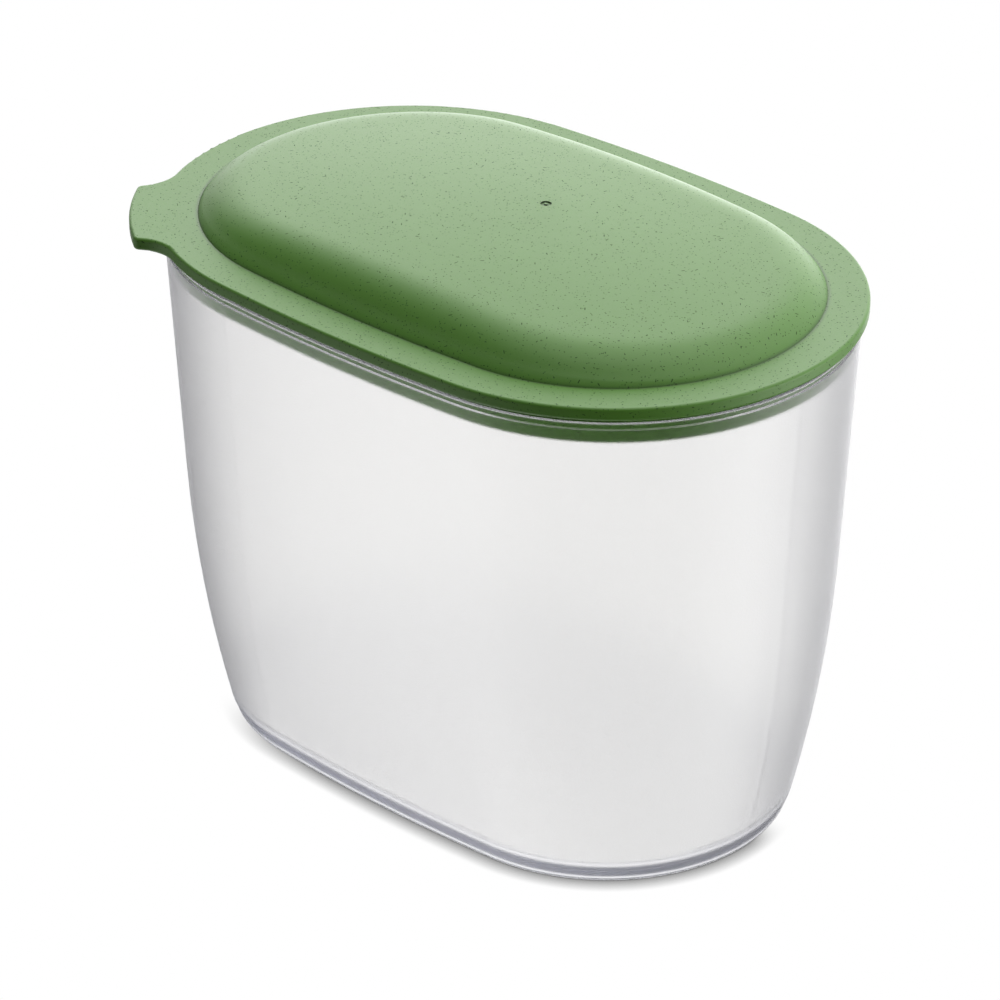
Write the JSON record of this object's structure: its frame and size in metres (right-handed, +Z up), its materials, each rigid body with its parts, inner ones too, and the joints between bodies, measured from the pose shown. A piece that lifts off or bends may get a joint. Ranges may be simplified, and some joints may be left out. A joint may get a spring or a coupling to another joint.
{
  "type": "food storage container",
  "caption": "Tall oval kitchen keeper: a tapered clear tub with a frosted wall, closed by a plug-in lid with a wide flange, a pull tab and a crowned top.",
  "frame": {"origin": "centre of the underside of the base, on the plane that it stands on", "axes": "+Z up, +X along the oval, away from the end that carries the pull tab"},
  "size_m": [0.226, 0.15, 0.1762],
  "materials": {
    "frosted_clear_plastic": "clear, frosted on the wall, polished at the rim and the base",
    "speckled_green_plastic": "satin moulded plastic with fine dark plant fibres in it"
  },
  "bodies": {
    "tub": {"container": "frosted_clear_plastic"},
    "cover": {"lid": "speckled_green_plastic"}
  },
  "joints": [
    {"name": "lid_lift", "type": "slide", "parent": "tub", "child": "cover", "axis": [0, 0, 1], "range_m": [0, 0.18]}
  ]
}
